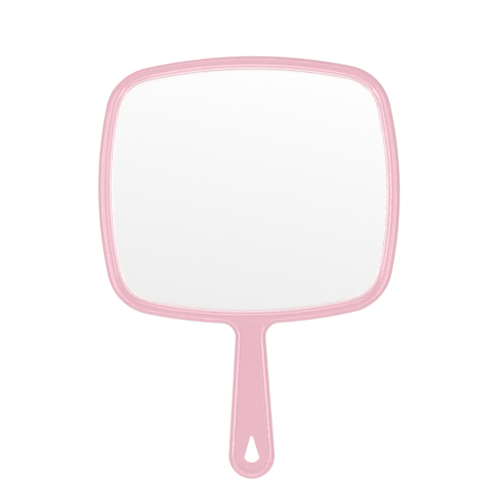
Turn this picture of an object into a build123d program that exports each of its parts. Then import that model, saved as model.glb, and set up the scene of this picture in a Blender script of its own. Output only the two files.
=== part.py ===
from build123d import *

import math
import os

# Hand mirror for a hair salon: a rounded-square mirror in a two-shell plastic frame with a flat handle.
#
# Millimetres. +Z runs up the handle to the head, -Y is the side with the glass, and +X is to the right
# as one looks into the glass. The origin is under the handle's rounded end, midway through the
# thickness. Insets are distances inward from an outline, depths are distances in from a face.
#
# The front frame and the rear cover meet on the plane Y = 0. The glass lies in the frame's pocket, and
# six foam pads on rib boxes of the rear cover press it against the frame's lip. A tongue round the
# cover goes into a channel in the frame and snaps in there. Two pins in the handle locate the shells.

# Head: a closed outline of eight tangent arcs
HEAD_WIDTH = 190.0
HEAD_HEIGHT = 168.8
TOP_RADIUS = 313.0  # the top and the bottom side
SIDE_RADIUS = 254.0
CORNER_RADIUS = 31.6

# Handle: two straight tapered sides and a round end
TOTAL_HEIGHT = 266.0
HANDLE_END_RADIUS = 14.75
HANDLE_TAPER = 3.83  # degrees, each side
NECK_RADIUS = 8.5  # the hollow corners where the handle meets the head

# Shells
THICKNESS = 12.0
DRAFT_INSET = 0.8  # the sides lean in by this much from the seam to either face
SHOULDER_RADIUS = 2.6  # the outer edge's rounding, front and back
WALL = 2.4
SKIN = 1.8  # thickness behind the wide faces
SEAM_CHAMFER = 0.25  # on both shells, where they meet
ROOT = 0.2  # how far a rib or boss sinks into the wall that carries it

# Front bezel: an outer band, a fine step, an inner bead and the lip's edge, as (inset, depth)
BEZEL = ((3.15, 0.0), (4.6, 0.25), (5.1, 0.55), (6.7, 0.7), (8.55, 1.9), (8.6, 2.25))
BEZEL_CRESTS = {0.25: 0.3, 0.7: 4.3, 1.9: 0.15}  # the rounding of its ridges, by depth

# Shallow field in the back of the head
FIELD_INSET = 10.0
FIELD_DEPTH = 1.2
FIELD_BEVEL = 0.9

# Recessed panels on both faces of the handle, inside a raised rim
PANEL_INSET = 3.55
PANEL_BEVEL = 1.2
PANEL_DEPTH = 0.8
PANEL_CORNER = 1.6
PANEL_END_RISE = 0.85  # makes the rim wider round the handle's end
PANEL_CREST = 0.9  # rounding of the rim's inner edge
PANEL_FOOT = 0.5

# Hanging hole: a point upwards, two straight sides and a shallow round bottom
HOLE_BOTTOM = 10.6  # above the handle's end
HOLE_HALF_WIDTH = 4.65
HOLE_CORNER_RISE = 3.4  # from the bottom up to the widest level
HOLE_SIDE_ANGLE = 16.1  # degrees from vertical
HOLE_TIP_RADIUS = 1.05
HOLE_CORNER_RADIUS = 0.8
HOLE_EDGE_RADIUS = 0.5
HOLE_WALL = 1.6

# Mirror stack, from the front
GLASS_THICKNESS = 2.0
GLASS_EDGE = 0.3  # seamed edges
GLASS_POCKET_INSET = 5.1
GLASS_CLEARANCE = 0.3
COATING_INSET = 0.5  # the coating and the film end this far inside the glass's edge
BOND_THICKNESS = 0.02  # clear bond between glass and coating
SILVER_THICKNESS = 0.1
FILM_THICKNESS = 0.2
PAD_THICKNESS = 2.0

# Tongue-and-channel joint round the head
CHANNEL_DEPTH = 4.2  # into either shell, from the seam
RIB_INSET = 4.0  # outer face of the rib round the glass
RIB_TOP = -1.35
TONGUE_CLEARANCE = 0.15
TONGUE_THICKNESS = 1.15
TONGUE_REACH = 2.6
SNAP_LENGTH = 10.0
SNAP_PROUD = 0.45
SNAP_SPAN = (-1.4, -2.4)
SNAP_CLEARANCE = 0.15
SNAP_X, SNAP_Z = 42.0, 38.0  # from the head's centre
SNAP_LEAD = 0.3

# Foam pads, and the rib boxes and braces behind them
PAD_LENGTH, PAD_WIDTH = 30.0, 12.0
PAD_COLUMNS = {"left": -52.0, "middle": 0.0, "right": 52.0}
PAD_ROWS = {"top": 50.0, "bottom": -50.0}
PAD_RIB = 1.4
BRACE_RIB = 1.2
BRACE_HEIGHT = 1.4

# Locating pins and ribs in the handle
PIN_HEIGHTS = (48.0, 84.0)  # above the handle's end
PIN_RADIUS = 1.5
PIN_REACH = 2.6
PIN_TIP = 0.4
SOCKET_CLEARANCE = 0.05
SOCKET_DEPTH = 3.0
BOSS_RADIUS = 3.0
HANDLE_RIB = 1.4
HANDLE_RIB_HEIGHTS = (36.0, 60.0, 72.0)
SEAM_GAP = 0.1  # ribs and bosses stop this far short of the seam

HALF = THICKNESS / 2
HEAD_CENTRE = TOTAL_HEIGHT - HEAD_HEIGHT / 2
HEAD_BOTTOM = TOTAL_HEIGHT - HEAD_HEIGHT
LIP_INSET, LIP_DEPTH = BEZEL[-1]
GLASS_INSET = GLASS_POCKET_INSET + GLASS_CLEARANCE
GLASS_FRONT = LIP_DEPTH - HALF
GLASS_BACK = GLASS_FRONT + GLASS_THICKNESS
SILVER_FRONT = GLASS_BACK + BOND_THICKNESS
SILVER_BACK = SILVER_FRONT + SILVER_THICKNESS
FILM_BACK = SILVER_BACK + FILM_THICKNESS
PAD_BACK = FILM_BACK + PAD_THICKNESS
FIELD_INSIDE = HALF - FIELD_DEPTH - SKIN
PANEL_FACE = HALF - PANEL_DEPTH
PANEL_INSIDE = PANEL_FACE - SKIN
TONGUE_OUTSIDE = WALL + TONGUE_CLEARANCE
TONGUE_INSIDE = TONGUE_OUTSIDE + TONGUE_THICKNESS
HOLE_CORNER = HOLE_BOTTOM + HOLE_CORNER_RISE
OUTSIDE = 1.0  # how far cutters start outside a face
SAME_PLANE = 0.001  # how near an edge is to a plane that it lies on


def slab(area, y_back, y_front):
    """A flat area, drawn in X and Z, made solid from y_back forward to y_front."""
    return extrude(Plane.XZ.offset(-y_back) * area, amount=y_back - y_front)


def taper(wide, y_wide, narrow, y_narrow):
    """A straight-sided solid from one area to a smaller one."""
    return loft([Plane.XZ.offset(-y_wide) * wide, Plane.XZ.offset(-y_narrow) * narrow], ruled=True)


def cylinder(x, z, radius, y_back, y_front):
    """A round solid along Y."""
    return slab(Pos(x, z) * Circle(radius), y_back, y_front)


def edges_at(solid, y):
    """The edges that lie on the plane at y."""
    return solid.edges().filter_by_position(Axis.Y, y - SAME_PLANE, y + SAME_PLANE)


def edges_in(solid, y, area):
    """The edges that lie on the plane at y, inside an area."""
    zone = slab(area, y + ROOT, y - ROOT)
    return [edge for edge in edges_at(solid, y) if zone.is_inside(edge @ 0.5)]


def corner_centre():
    """Centre of the head's upper right corner arc, which touches both the top and the side arc."""
    top_z = HEAD_HEIGHT / 2 - TOP_RADIUS
    side_x = HEAD_WIDTH / 2 - SIDE_RADIUS
    from_top, from_side = TOP_RADIUS - CORNER_RADIUS, SIDE_RADIUS - CORNER_RADIUS
    apart = math.hypot(side_x, top_z)
    along = (from_top**2 - from_side**2 + apart**2) / (2 * apart)
    across = math.sqrt(from_top**2 - along**2)
    x = (along * side_x - across * top_z) / apart
    z = top_z - (along * top_z + across * side_x) / apart
    return x, z


def head(inset=0.0):
    """The head's outline. With an inset every arc keeps its centre and gets a smaller radius."""
    x, z = corner_centre()
    top_z = HEAD_HEIGHT / 2 - TOP_RADIUS
    side_x = HEAD_WIDTH / 2 - SIDE_RADIUS
    top_half = math.degrees(math.atan2(x, z - top_z))
    side_half = math.degrees(math.atan2(z, x - side_x))
    corner = 90 - top_half - side_half
    arcs = [
        CenterArc((side_x, 0), SIDE_RADIUS - inset, -side_half, 2 * side_half),
        CenterArc((x, z), CORNER_RADIUS - inset, side_half, corner),
        CenterArc((0, top_z), TOP_RADIUS - inset, 90 - top_half, 2 * top_half),
        CenterArc((-x, z), CORNER_RADIUS - inset, 90 + top_half, corner),
        CenterArc((-side_x, 0), SIDE_RADIUS - inset, 180 - side_half, 2 * side_half),
        CenterArc((-x, -z), CORNER_RADIUS - inset, 180 + side_half, corner),
        CenterArc((0, -top_z), TOP_RADIUS - inset, 270 - top_half, 2 * top_half),
        CenterArc((x, -z), CORNER_RADIUS - inset, 270 + top_half, corner),
    ]
    return Pos(0, HEAD_CENTRE) * make_face(arcs)


def handle(inset, end_rise):
    """The handle's outline, run up into the head.

    With an end rise the round end's centre lies higher and its radius still meets the same sides.
    """
    lean = math.radians(HANDLE_TAPER)
    radius = HANDLE_END_RADIUS - inset - end_rise * math.sin(lean)
    centre_z = HANDLE_END_RADIUS + end_rise
    x = radius * math.cos(lean)
    z = centre_z + radius * math.sin(lean)
    top_z = HEAD_BOTTOM + LIP_INSET
    top_x = x - (top_z - z) * math.tan(lean)
    end = CenterArc((0, centre_z), radius, 180 - HANDLE_TAPER, 180 + 2 * HANDLE_TAPER)
    sides = Polyline((x, z), (top_x, top_z), (-top_x, top_z), (-x, z))
    return make_face([end, sides])


def outline(inset=0.0, end_rise=0.0):
    """Head and handle in one, with the hollow neck corners rounded."""
    whole = head(inset) + handle(inset, end_rise)
    neck = [v for v in whole.vertices() if abs(v.X) < HANDLE_END_RADIUS and v.Y > HEAD_BOTTOM / 2]
    return fillet(neck, NECK_RADIUS + inset)


def panel(inset):
    """The handle's recess. It ends where the head's edge would pass."""
    area = outline(inset, PANEL_END_RISE) - head(PANEL_INSET - inset)
    corners = [v for v in area.vertices() if v.Y > HEAD_BOTTOM - NECK_RADIUS / 2]
    return fillet(corners, PANEL_CORNER)


def hanging_hole(grow=0.0):
    """The hole's outline, made larger all round by grow."""
    apex = HOLE_CORNER + HOLE_HALF_WIDTH / math.tan(math.radians(HOLE_SIDE_ANGLE))
    left, right = (-HOLE_HALF_WIDTH, HOLE_CORNER), (HOLE_HALF_WIDTH, HOLE_CORNER)
    bottom = ThreePointArc(left, (0, HOLE_BOTTOM), right)
    shape = make_face([bottom, Polyline(right, (0, apex), left)])
    shape = fillet(shape.vertices().sort_by(Axis.Y)[-1], HOLE_TIP_RADIUS)
    shape = fillet(shape.vertices().sort_by(Axis.Y)[:2], HOLE_CORNER_RADIUS)
    return offset(shape, grow) if grow else shape


def blank(face_y):
    """A shell before it is hollowed: from the seam to its face, with its outer edges worked."""
    widest_y = math.copysign(SEAM_CHAMFER, face_y)
    sides = taper(outline(), widest_y, outline(DRAFT_INSET), face_y)
    sides = fillet(edges_at(sides, face_y), SHOULDER_RADIUS)
    return sides + taper(outline(SEAM_CHAMFER), 0, outline(), widest_y)


def cut_bezel(solid):
    """The front frame's steps down to the glass, their ridges rounded."""
    for (inset, depth), (next_inset, next_depth) in zip(BEZEL, BEZEL[1:]):
        solid -= taper(head(inset), depth - HALF, head(next_inset), next_depth - HALF)
    for depth, radius in BEZEL_CRESTS.items():
        solid = fillet(edges_at(solid, depth - HALF), radius)
    return solid


def cut_panel(solid, face_y):
    """The recess in one face of the handle, its rim rounded."""
    floor_y = math.copysign(PANEL_FACE, face_y)
    recess = taper(panel(PANEL_INSET), face_y, panel(PANEL_INSET + PANEL_BEVEL), floor_y)
    solid -= fillet(edges_at(recess, floor_y), PANEL_FOOT)
    return fillet(edges_in(solid, face_y, panel(PANEL_INSET - ROOT)), PANEL_CREST)


def cut_hole(solid, face_y):
    """The hanging hole through one shell, its outer edge rounded."""
    floor_y = math.copysign(PANEL_FACE, face_y)
    solid -= slab(hanging_hole(), OUTSIDE + HALF, -OUTSIDE - HALF)
    return fillet(edges_in(solid, floor_y, hanging_hole(ROOT)), HOLE_EDGE_RADIUS)


def handle_ribs():
    """Plan of the handle's ribs: a spine, and cross ribs from wall to wall."""
    bottom = HOLE_CORNER + HOLE_HALF_WIDTH
    spine = Pos(0, (bottom + HEAD_BOTTOM) / 2) * Rectangle(HANDLE_RIB, HEAD_BOTTOM - bottom)
    cross = [Pos(0, z) * Rectangle(2 * HANDLE_END_RADIUS, HANDLE_RIB) for z in HANDLE_RIB_HEIGHTS]
    return (spine + cross) & outline(WALL - ROOT)


def snap_zones(length):
    """Plan of the places on the head's four sides where the shells snap together."""
    upright = [Pos(x, 0) * Rectangle(length, HEAD_HEIGHT) for x in (-SNAP_X, SNAP_X)]
    level = [Pos(0, z) * Rectangle(HEAD_WIDTH, length) for z in (-SNAP_Z, SNAP_Z)]
    return Pos(0, HEAD_CENTRE) * (Sketch() + upright + level)


def snap_hooks():
    """Hooks on the tongue's outer face, with a lead-in towards the front."""
    near, far = SNAP_SPAN
    ring = head(TONGUE_OUTSIDE - SNAP_PROUD) - head(TONGUE_OUTSIDE + ROOT)
    hooks = slab(ring & snap_zones(SNAP_LENGTH), near, far)
    tapered = taper(head(TONGUE_OUTSIDE - SNAP_PROUD), far + SNAP_LEAD, head(TONGUE_OUTSIDE), far)
    return hooks & (slab(head(), near, far + SNAP_LEAD) + tapered)


def snap_grooves():
    """Grooves in the frame's outer wall that take the hooks."""
    near, far = SNAP_SPAN
    ring = head(TONGUE_OUTSIDE - SNAP_PROUD - SNAP_CLEARANCE) - head(WALL + ROOT)
    area = ring & snap_zones(SNAP_LENGTH + 2 * SNAP_CLEARANCE)
    return slab(area, near + SNAP_CLEARANCE, far - SNAP_CLEARANCE)


def front_frame():
    """The shell with the stepped frame round the glass and the front half of the handle."""
    solid = cut_panel(cut_bezel(blank(-HALF)), -HALF)
    solid -= slab(outline(WALL) - head(RIB_INSET), 0, -PANEL_INSIDE)
    solid -= slab(head(WALL) - head(RIB_INSET), 0, -CHANNEL_DEPTH)
    solid -= slab(head(RIB_INSET), 0, RIB_TOP)
    solid -= slab(head(GLASS_POCKET_INSET), 0, GLASS_FRONT)
    solid -= slab(head(LIP_INSET), 0, -HALF - OUTSIDE)
    solid -= snap_grooves()
    solid += slab(handle_ribs(), -SEAM_GAP, -PANEL_INSIDE - ROOT)
    solid += slab(hanging_hole(HOLE_WALL), 0, -PANEL_INSIDE - ROOT)
    for z in PIN_HEIGHTS:
        solid += cylinder(0, z, BOSS_RADIUS, -SEAM_GAP, -PANEL_INSIDE - ROOT)
        solid -= cylinder(0, z, PIN_RADIUS + SOCKET_CLEARANCE, 0, -SOCKET_DEPTH)
    return cut_hole(solid, -HALF)


def pad_places():
    """Name and centre of every foam pad."""
    for row, z in PAD_ROWS.items():
        for column, x in PAD_COLUMNS.items():
            yield f"foam_pad_{row}_{column}", x, HEAD_CENTRE + z


def pad_box(x, z):
    """Plan of the rib box under one pad: four walls and a middle web."""
    outer = Rectangle(PAD_LENGTH, PAD_WIDTH)
    inner = Rectangle(PAD_LENGTH - 2 * PAD_RIB, PAD_WIDTH - 2 * PAD_RIB)
    web = Rectangle(PAD_RIB, PAD_WIDTH)
    return Pos(x, z) * (outer - inner + web)


def braces():
    """Plan of the low ribs that tie the rib boxes together and reach the rim."""
    rows = [Pos(0, HEAD_CENTRE + z) * Rectangle(HEAD_WIDTH, BRACE_RIB) for z in PAD_ROWS.values()]
    columns = [Pos(x, HEAD_CENTRE) * Rectangle(BRACE_RIB, HEAD_HEIGHT) for x in PAD_COLUMNS.values()]
    return (Sketch() + rows + columns) & head(FIELD_INSET - SKIN / 2)


def rear_cover():
    """The closed back of the head and the back half of the handle."""
    field_far = FIELD_INSET + FIELD_BEVEL
    field = taper(head(FIELD_INSET), HALF, head(field_far), HALF - FIELD_DEPTH)
    solid = cut_panel(blank(HALF) - field, HALF)
    solid -= slab(head(TONGUE_INSIDE) - head(FIELD_INSET - SKIN), CHANNEL_DEPTH, 0)
    solid -= slab(head(TONGUE_INSIDE), FIELD_INSIDE, 0)
    solid -= slab(outline(WALL) - head(), PANEL_INSIDE, 0)
    solid += slab(head(TONGUE_OUTSIDE) - head(TONGUE_INSIDE), ROOT, -TONGUE_REACH)
    solid += snap_hooks()
    solid += slab(braces(), FIELD_INSIDE + ROOT, FIELD_INSIDE - BRACE_HEIGHT)
    for _, x, z in pad_places():
        solid += slab(pad_box(x, z), FIELD_INSIDE + ROOT, PAD_BACK)
    solid += slab(handle_ribs(), PANEL_INSIDE + ROOT, SEAM_GAP)
    solid += slab(hanging_hole(HOLE_WALL), PANEL_INSIDE + ROOT, 0)
    for z in PIN_HEIGHTS:
        solid += cylinder(0, z, BOSS_RADIUS, PANEL_INSIDE + ROOT, SEAM_GAP)
        pin = cylinder(0, z, PIN_RADIUS, PANEL_INSIDE, -PIN_REACH)
        solid += chamfer(edges_at(pin, -PIN_REACH), PIN_TIP)
    return cut_hole(solid, HALF)


def mirror_glass():
    """Float glass with seamed edges."""
    solid = slab(head(GLASS_INSET), GLASS_BACK, GLASS_FRONT)
    return chamfer(edges_at(solid, GLASS_FRONT) + edges_at(solid, GLASS_BACK), GLASS_EDGE)


def silver_coating():
    """The reflecting layer on the back of the glass."""
    return slab(head(GLASS_INSET + COATING_INSET), SILVER_BACK, SILVER_FRONT)


def backing_film():
    """The film that protects the coating and holds the pieces if the glass breaks."""
    return slab(head(GLASS_INSET + COATING_INSET), FILM_BACK, SILVER_BACK)


def foam_pad(x, z):
    """One soft pad between the film and its rib box."""
    return slab(Pos(x, z) * Rectangle(PAD_LENGTH, PAD_WIDTH), PAD_BACK, FILM_BACK)


def build():
    """Every piece by name."""
    pieces = {
        "front_frame": front_frame(),
        "rear_cover": rear_cover(),
        "mirror_glass": mirror_glass(),
        "silver_coating": silver_coating(),
        "backing_film": backing_film(),
    }
    for name, x, z in pad_places():
        pieces[name] = foam_pad(x, z)
    return pieces


os.makedirs("parts", exist_ok=True)
for piece_name, piece in build().items():
    export_step(piece, f"parts/{piece_name}.step")
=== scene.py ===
import math

import bpy
from mathutils import Matrix, Vector


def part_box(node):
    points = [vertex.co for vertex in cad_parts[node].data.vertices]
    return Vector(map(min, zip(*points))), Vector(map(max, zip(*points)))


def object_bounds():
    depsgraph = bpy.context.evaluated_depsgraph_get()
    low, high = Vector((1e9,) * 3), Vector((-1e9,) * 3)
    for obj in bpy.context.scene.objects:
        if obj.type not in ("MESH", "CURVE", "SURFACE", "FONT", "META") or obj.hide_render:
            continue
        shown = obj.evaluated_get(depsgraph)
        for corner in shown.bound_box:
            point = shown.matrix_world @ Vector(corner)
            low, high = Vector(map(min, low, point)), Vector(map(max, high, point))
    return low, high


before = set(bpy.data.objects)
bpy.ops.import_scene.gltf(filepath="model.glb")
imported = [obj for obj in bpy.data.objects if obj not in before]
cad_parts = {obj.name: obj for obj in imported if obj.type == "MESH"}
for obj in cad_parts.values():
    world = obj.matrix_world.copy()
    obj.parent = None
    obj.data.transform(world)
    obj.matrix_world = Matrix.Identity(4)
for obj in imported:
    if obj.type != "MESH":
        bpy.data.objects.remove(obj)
CAD_LOW, CAD_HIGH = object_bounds()

# Camera, in metres and degrees
CAMERA_DISTANCE = 1.6  # from the plane where the two shells meet
VIEW_WIDTH = 0.3141  # what the picture spans on that plane
VIEW_CENTRE = (0.0002, 0.1439)  # the picture's centre on that plane, X and Z
CAMERA_ROLL = 0.57
SENSOR_WIDTH = 36.0

# Soft lights round the camera's line: aim, degrees off the line, degrees round it from the right,
# width, height, and brightness. The aims are heights above the handle's end.
LIGHT_DISTANCE = 1.0
HEAD_AIM = 0.182
HANDLE_AIM = 0.010
FRONT_LIGHTS = {
    "left_light": (HEAD_AIM, 25, 190, 0.20, 0.44, 3.0),
    "left_fill": (HEAD_AIM, 14, 186, 0.18, 0.36, 1.1),
    "low_light": (HEAD_AIM, 24, 262, 0.60, 0.20, 1.5),
    "right_light": (HEAD_AIM, 24, 346, 0.20, 0.42, 1.6),
    "right_fill": (HEAD_AIM, 14, 355, 0.16, 0.34, 1.3),
    "top_light": (HEAD_AIM, 26, 92, 0.34, 0.17, 2.0),
    "handle_left": (HANDLE_AIM, 15, 180, 0.14, 0.20, 3.0),
    "handle_right": (HANDLE_AIM, 15, 0, 0.14, 0.20, 3.0),
    "handle_low": (HANDLE_AIM, 18, 270, 0.14, 0.10, 2.6),
}
BACK_LIGHT = (-0.6, 0.8, 1.1)  # from the mirror's middle
BACK_LIGHT_SIZE = 1.0
BACK_RADIANCE = 2.1

# The room, by how bright each part looks
ROOM_LEVEL = 0.92
SIDE_LEVEL = 0.7  # square to the camera's line, all round
REAR_LEVEL = 1.0
SIDE_SPREAD = 0.5  # the cosine from the camera's line where the sides' level ends
WALL_LEVEL = 0.95
WALL_RISE_UP = 1.4  # brightness gained per radian
WALL_RISE_RIGHT = 0.3
WALL_EDGE = (7, 10)  # degrees off the camera's line where the wall starts and ends fading

# The head's outline, for what changes from its edge inwards: arcs as in the CAD, in metres
SIDE_RADIUS = 0.254
TOP_RADIUS = 0.313
CORNER_BLEND = 0.0216  # how far the two arcs blend into each other at the corners
# The next value is where the lip's painted glow begins
PAINTED_GLOW_START = 0.0070  # this and the next four are insets from the outline
LIP_EDGE = 0.0086
SILVER_CLEAR = 0.0106
FIELD_EDGE = 0.0108  # where the flat of the rear cover's field starts
FIELD_FULL = 0.0111

# Plastic. Scales are in features per metre and heights in metres, here and below.
PLASTIC_IOR = 1.54
COAT_IOR = 1.5
COAT_ROUGHNESS = 0.1
FLOW_SCALE = 18
HAZE_SCALE = 260
HAZE_ROUGHNESS = (0.1, 0.16)
RIPPLE_SCALE = 90
RIPPLE_HEIGHT = 0.00012
PEEL_SCALE = 900
PEEL_HEIGHT = 0.000006
GRAIN_SCALE = 2600
GRAIN_HEIGHT = 0.00003
GRAIN_ROUGHNESS = 0.38

# Glass, silver, film and foam
GLASS_IOR = 1.52
TINT_SCALE = 12
SILVER_HAZE = 0.14  # the silver's roughness at the lip
CREASE_SCALE = 40
CREASE_HEIGHT = 0.0002
FILM_ROUGHNESS = 0.35
CELL_SCALE = 1400
CELL_HEIGHT = 0.0004
FOAM_ROUGHNESS = 0.9

# Floor
FLOOR_DROP = 0.25  # the floor lies this far under the handle's end
FLOOR_RADIUS = 0.6
FLOOR_SIDES = 96
FLOOR_FADE = 0.35  # where the fade starts, as a share of the radius
FLOOR_COLOUR = (0.9, 0.9, 0.9, 1.0)
WHITE = (1.0, 1.0, 1.0, 1.0)


def linear(red, green, blue):
    """A colour given as sRGB bytes, as the linear colour that a shader takes."""
    def channel(value):
        value /= 255
        return value / 12.92 if value <= 0.04045 else ((value + 0.055) / 1.055) ** 2.4
    return channel(red), channel(green), channel(blue), 1.0


PINK_DEEP = linear(212, 161, 174)
PINK_PALE = linear(216, 166, 179)
# Painted glow: the lip's paleness near the mirror, painted into its colour in place of light through the
# lip and reflections on it
PINK_PAINTED_GLOW = linear(252, 233, 236)
GLASS_CLEAR = (0.99, 0.99, 0.99, 1.0)
GLASS_GREEN = (0.988, 0.99, 0.989, 1.0)
SILVER = (0.96, 0.96, 0.96, 1.0)
# Painted reflection: the frame's pink painted into the silver next to the lip
SILVER_PAINTED_REFLECTION = (1.0, 0.87, 0.89, 1.0)
FILM_WHITE = linear(236, 236, 232)
# Painted shade: the film's colour in the hollows of its creases
FILM_CREASE_SHADE = linear(214, 214, 210)
FOAM_GREY = linear(120, 120, 122)
# Painted shade: the colour in the foam's pits
FOAM_PIT_SHADE = linear(52, 52, 54)


class Nodes:
    """A short way to build one node tree."""

    def __init__(self, owner):
        owner.use_nodes = True
        self.tree = owner.node_tree
        self.tree.nodes.clear()

    def add(self, kind, inputs=None, **settings):
        node = self.tree.nodes.new(kind)
        for key, value in settings.items():
            setattr(node, key, value)
        for key, value in (inputs or {}).items():
            if isinstance(value, bpy.types.NodeSocket):
                self.tree.links.new(value, node.inputs[key])
            else:
                node.inputs[key].default_value = value
        return node


def material(name):
    made = bpy.data.materials.new(name)
    return made, Nodes(made)


def noise(nodes, position, scale, detail=2.0, roughness=0.5):
    """A noise value from 0 to 1. Scale is in features per metre."""
    inputs = {"Vector": position, "Scale": scale, "Detail": detail, "Roughness": roughness}
    return nodes.add("ShaderNodeTexNoise", inputs).outputs["Fac"]


def spread(nodes, value, low=0.0, high=1.0):
    """The middle of a noise value, which rarely leaves 0.3 to 0.7, stretched over low to high."""
    inputs = {"Value": value, "From Min": 0.3, "From Max": 0.7, "To Min": low, "To Max": high}
    return nodes.add("ShaderNodeMapRange", inputs).outputs["Result"]


def bump(nodes, height, distance, strength=1.0, normal=None):
    inputs = {"Height": height, "Distance": distance, "Strength": strength}
    if normal is not None:
        inputs["Normal"] = normal
    return nodes.add("ShaderNodeBump", inputs).outputs["Normal"]


def mix(nodes, factor, first, second):
    """A colour between two colours."""
    inputs = {"Factor": factor, "A": first, "B": second}
    return nodes.add("ShaderNodeMix", inputs, data_type="RGBA").outputs[2]


def between(nodes, factor, first, second):
    """A number between two numbers."""
    return nodes.add("ShaderNodeMix", {"Factor": factor, "A": first, "B": second}).outputs[0]


def ramp(nodes, value, start, end, interpolation="LINEAR"):
    """0 where a value is at its start, 1 at its end."""
    inputs = {"Value": value, "From Min": start, "From Max": end}
    return nodes.add("ShaderNodeMapRange", inputs, interpolation_type=interpolation).outputs["Result"]


def number(nodes, operation, *values):
    """The result of one sum on numbers."""
    return nodes.add("ShaderNodeMath", dict(enumerate(values)), operation=operation).outputs[0]


def vector(nodes, operation, *values, output="Vector"):
    """The result of one sum on vectors."""
    return nodes.add("ShaderNodeVectorMath", dict(enumerate(values)), operation=operation).outputs[output]


def object_position(nodes):
    return nodes.add("ShaderNodeTexCoord").outputs["Object"]


def surface(nodes, kind, inputs):
    """Ends a material's tree with one shader."""
    shader = nodes.add(kind, inputs)
    nodes.add("ShaderNodeOutputMaterial", {"Surface": shader.outputs[0]})


def arc_inset(nodes, place, shift, radius):
    """How far a place is inside one arc of the head's outline."""
    reach = vector(nodes, "LENGTH", vector(nodes, "ADD", place, shift), output="Value")
    return number(nodes, "SUBTRACT", radius, reach)


def head_inset(nodes, position):
    """How far a place lies inside the head's outline, from its side and top arcs."""
    glass_low, glass_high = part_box("mirror_glass")
    centre = (glass_low + glass_high) / 2
    half_width, half_height = CAD_HIGH.x - centre.x, CAD_HIGH.z - centre.z
    place = vector(nodes, "ABSOLUTE", vector(nodes, "SUBTRACT", position, centre))
    place = vector(nodes, "MULTIPLY", place, (1, 0, 1))
    side = arc_inset(nodes, place, (SIDE_RADIUS - half_width, 0, 0), SIDE_RADIUS)
    top = arc_inset(nodes, place, (0, 0, TOP_RADIUS - half_height), TOP_RADIUS)
    return number(nodes, "SMOOTH_MIN", side, top, CORNER_BLEND)


def moulded_pink(name, lip=False, field=False):
    """Polished pink plastic: faint flow marks in the colour, a soft ripple, and handling haze.

    Towards the mirror the frame's lip is painted paler, a painted glow standing in for light that
    passes through the narrow lip and for bright reflections on it. The field in the rear cover has a
    fine spark-eroded grain.
    """
    made, nodes = material(name)
    position = object_position(nodes)
    flow = noise(nodes, position, FLOW_SCALE, detail=3)
    colour = mix(nodes, spread(nodes, flow), PINK_DEEP, PINK_PALE)
    if lip:
        # Painted glow: the lip's colour is painted paler towards the mirror
        painted_glow = ramp(nodes, head_inset(nodes, position), PAINTED_GLOW_START, LIP_EDGE)
        colour = mix(nodes, painted_glow, colour, PINK_PAINTED_GLOW)
    haze = noise(nodes, position, HAZE_SCALE, detail=4, roughness=0.6)
    roughness = spread(nodes, haze, *HAZE_ROUGHNESS)
    ripple = noise(nodes, position, RIPPLE_SCALE, detail=1)
    peel = noise(nodes, position, PEEL_SCALE)
    normal = bump(nodes, peel, PEEL_HEIGHT, normal=bump(nodes, ripple, RIPPLE_HEIGHT))
    if field:
        grained = ramp(nodes, head_inset(nodes, position), FIELD_EDGE, FIELD_FULL)
        roughness = between(nodes, grained, roughness, GRAIN_ROUGHNESS)
        normal = bump(nodes, noise(nodes, position, GRAIN_SCALE), GRAIN_HEIGHT, grained, normal)
    look = {
        "Base Color": colour,
        "Roughness": roughness,
        "IOR": PLASTIC_IOR,
        "Coat Weight": 1.0,
        "Coat Roughness": COAT_ROUGHNESS,
        "Coat IOR": COAT_IOR,
        "Coat Normal": normal,
        "Normal": normal,
    }
    surface(nodes, "ShaderNodeBsdfPrincipled", look)
    return made


def clear_glass():
    """Clean float glass, with the least drift in its tint."""
    made, nodes = material("float_glass")
    tint = spread(nodes, noise(nodes, object_position(nodes), TINT_SCALE))
    look = {
        "Base Color": mix(nodes, tint, GLASS_CLEAR, GLASS_GREEN),
        "Roughness": 0.0,
        "IOR": GLASS_IOR,
        "Transmission Weight": 1.0,
    }
    surface(nodes, "ShaderNodeBsdfPrincipled", look)
    return made


def silvering():
    """A clean silver, hazy next to the lip, where its colour is a painted reflection of the frame's pink.
    """
    made, nodes = material("silvering")
    # Next to the lip the silver grows hazier, and its colour becomes a painted reflection of the frame's
    # pink
    haze_and_painted_reflection = ramp(nodes, head_inset(nodes, object_position(nodes)), SILVER_CLEAR, LIP_EDGE)
    look = {
        "Base Color": mix(nodes, haze_and_painted_reflection, SILVER, SILVER_PAINTED_REFLECTION),
        "Metallic": 1.0,
        "Roughness": number(nodes, "MULTIPLY", haze_and_painted_reflection, SILVER_HAZE),
    }
    surface(nodes, "ShaderNodeBsdfPrincipled", look)
    return made


def safety_film():
    """Off-white backing film with faint creases, painted duller in their hollows as shade."""
    made, nodes = material("safety_film")
    crease = noise(nodes, object_position(nodes), CREASE_SCALE, detail=3, roughness=0.4)
    look = {
        # The colour follows the crease bump, with painted shade in its hollows
        "Base Color": mix(nodes, spread(nodes, crease), FILM_CREASE_SHADE, FILM_WHITE),
        "Roughness": FILM_ROUGHNESS,
        "Normal": bump(nodes, crease, CREASE_HEIGHT),
    }
    surface(nodes, "ShaderNodeBsdfPrincipled", look)
    return made


def pad_foam():
    """Grey closed-cell foam, its cut face pitted with small cells that are painted dark as shade."""
    made, nodes = material("pad_foam")
    inputs = {"Vector": object_position(nodes), "Scale": CELL_SCALE}
    cells = nodes.add("ShaderNodeTexVoronoi", inputs).outputs["Distance"]
    # The colour follows the cell bump, with painted shade in its pits
    look = {
        "Base Color": mix(nodes, cells, FOAM_PIT_SHADE, FOAM_GREY),
        "Roughness": FOAM_ROUGHNESS,
        "Normal": bump(nodes, cells, CELL_HEIGHT),
    }
    surface(nodes, "ShaderNodeBsdfPrincipled", look)
    return made


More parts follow.
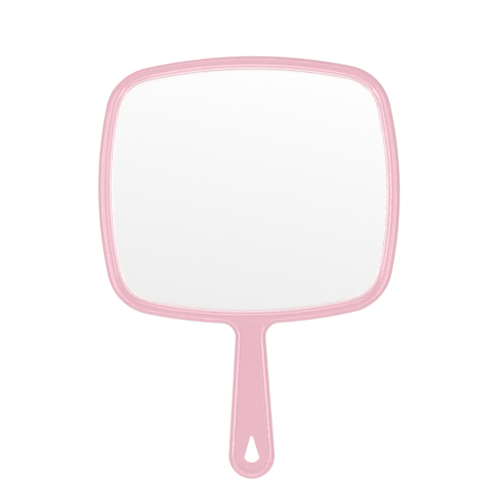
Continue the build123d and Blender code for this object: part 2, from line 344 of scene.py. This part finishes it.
def dress():
    """Gives every CAD node its material."""
    made = {
        "front_frame": moulded_pink("pink_frame", lip=True),
        "rear_cover": moulded_pink("pink_cover", field=True),
        "mirror_glass": clear_glass(),
        "silver_coating": silvering(),
        "backing_film": safety_film(),
    }
    foam = pad_foam()
    for name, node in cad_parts.items():
        for place in node.material_slots:
            place.material = made.get(name, foam)


def look_at(thing, place, target, roll=0.0):
    """Puts a camera or light at a place, facing the target."""
    turn = (Vector(target) - Vector(place)).to_track_quat("-Z", "Y").to_matrix().to_4x4()
    thing.matrix_world = Matrix.Translation(place) @ turn @ Matrix.Rotation(roll, 4, "Z")


def make_camera():
    data = bpy.data.cameras.new("camera")
    data.sensor_width = SENSOR_WIDTH
    data.lens = SENSOR_WIDTH * CAMERA_DISTANCE / VIEW_WIDTH
    camera = bpy.data.objects.new("camera", data)
    bpy.context.scene.collection.objects.link(camera)
    x, z = VIEW_CENTRE
    look_at(camera, (x, -CAMERA_DISTANCE, z), (x, 0, z), math.radians(-CAMERA_ROLL))
    bpy.context.scene.camera = camera


def softbox(name, place, target, width, height, radiance):
    """A soft rectangular light, of the given brightness as seen in a reflection."""
    data = bpy.data.lights.new(name, "AREA")
    data.shape = "RECTANGLE"
    data.size = width
    data.size_y = height
    data.energy = radiance * math.pi * width * height
    light = bpy.data.objects.new(name, data)
    light.visible_camera = False
    bpy.context.scene.collection.objects.link(light)
    look_at(light, place, target)


def make_lights():
    """Small soft lights in a ring round the camera's line, and one behind for the back."""
    for name, (aim, off_axis, round_axis, width, height, radiance) in FRONT_LIGHTS.items():
        target = Vector((0, 0, CAD_LOW.z + aim))
        off, turn = math.radians(off_axis), math.radians(round_axis)
        away = Vector((math.sin(off) * math.cos(turn), -math.cos(off), math.sin(off) * math.sin(turn)))
        softbox(name, target + away * LIGHT_DISTANCE, target, width, height, radiance)
    target = Vector((0, 0, CAD_LOW.z + HEAD_AIM))
    place = target + Vector(BACK_LIGHT)
    softbox("back_light", place, target, BACK_LIGHT_SIZE, BACK_LIGHT_SIZE, BACK_RADIANCE)


def make_world():
    """A pale room, with a lit wall behind the camera that the mirror shows, on a white backdrop."""
    world = bpy.data.worlds.new("studio")
    bpy.context.scene.world = world
    nodes = Nodes(world)
    direction = nodes.add("ShaderNodeTexCoord").outputs["Generated"]
    # 1 towards the camera, 0 square to its line, -1 away from it
    forward = vector(nodes, "DOT_PRODUCT", direction, (0, -1, 0), output="Value")
    rise = vector(nodes, "DOT_PRODUCT", direction, (WALL_RISE_RIGHT, 0, WALL_RISE_UP), output="Value")
    wall = number(nodes, "ADD", rise, WALL_LEVEL)
    wall_start, wall_end = (math.cos(math.radians(angle)) for angle in WALL_EDGE)
    on_wall = ramp(nodes, forward, wall_end, wall_start, "SMOOTHSTEP")
    to_rear = ramp(nodes, forward, SIDE_SPREAD, -SIDE_SPREAD)
    off_side = ramp(nodes, number(nodes, "ABSOLUTE", forward), 0.0, SIDE_SPREAD, "SMOOTHSTEP")
    room = between(nodes, off_side, SIDE_LEVEL, between(nodes, to_rear, ROOM_LEVEL, REAR_LEVEL))
    level = between(nodes, on_wall, room, wall)
    around = nodes.add("ShaderNodeBackground", {"Color": WHITE, "Strength": level})
    behind = nodes.add("ShaderNodeBackground", {"Color": WHITE, "Strength": 1.0})
    seen = nodes.add("ShaderNodeLightPath").outputs["Is Camera Ray"]
    mixed = nodes.add("ShaderNodeMixShader", {0: seen, 1: around.outputs[0], 2: behind.outputs[0]})
    nodes.add("ShaderNodeOutputWorld", {"Surface": mixed.outputs[0]})


def pale_floor():
    """White and matt in the middle, fading to nothing at the floor's edge."""
    made, nodes = material("pale_floor")
    radius = vector(nodes, "LENGTH", object_position(nodes), output="Value")
    fade = ramp(nodes, radius, FLOOR_FADE * FLOOR_RADIUS, FLOOR_RADIUS, "SMOOTHSTEP")
    matt = nodes.add("ShaderNodeBsdfDiffuse", {"Color": FLOOR_COLOUR})
    clear = nodes.add("ShaderNodeBsdfTransparent")
    surface(nodes, "ShaderNodeMixShader", {0: fade, 1: matt.outputs[0], 2: clear.outputs[0]})
    return made


def make_floor():
    place = (0, 0, CAD_LOW.z - FLOOR_DROP)
    bpy.ops.mesh.primitive_circle_add(
        vertices=FLOOR_SIDES, radius=FLOOR_RADIUS, fill_type="NGON", location=place
    )
    floor = bpy.context.object
    floor.name = "floor"
    floor.data.materials.append(pale_floor())


bpy.context.scene.view_settings.view_transform = "Standard"
dress()
make_camera()
make_lights()
make_world()
make_floor()
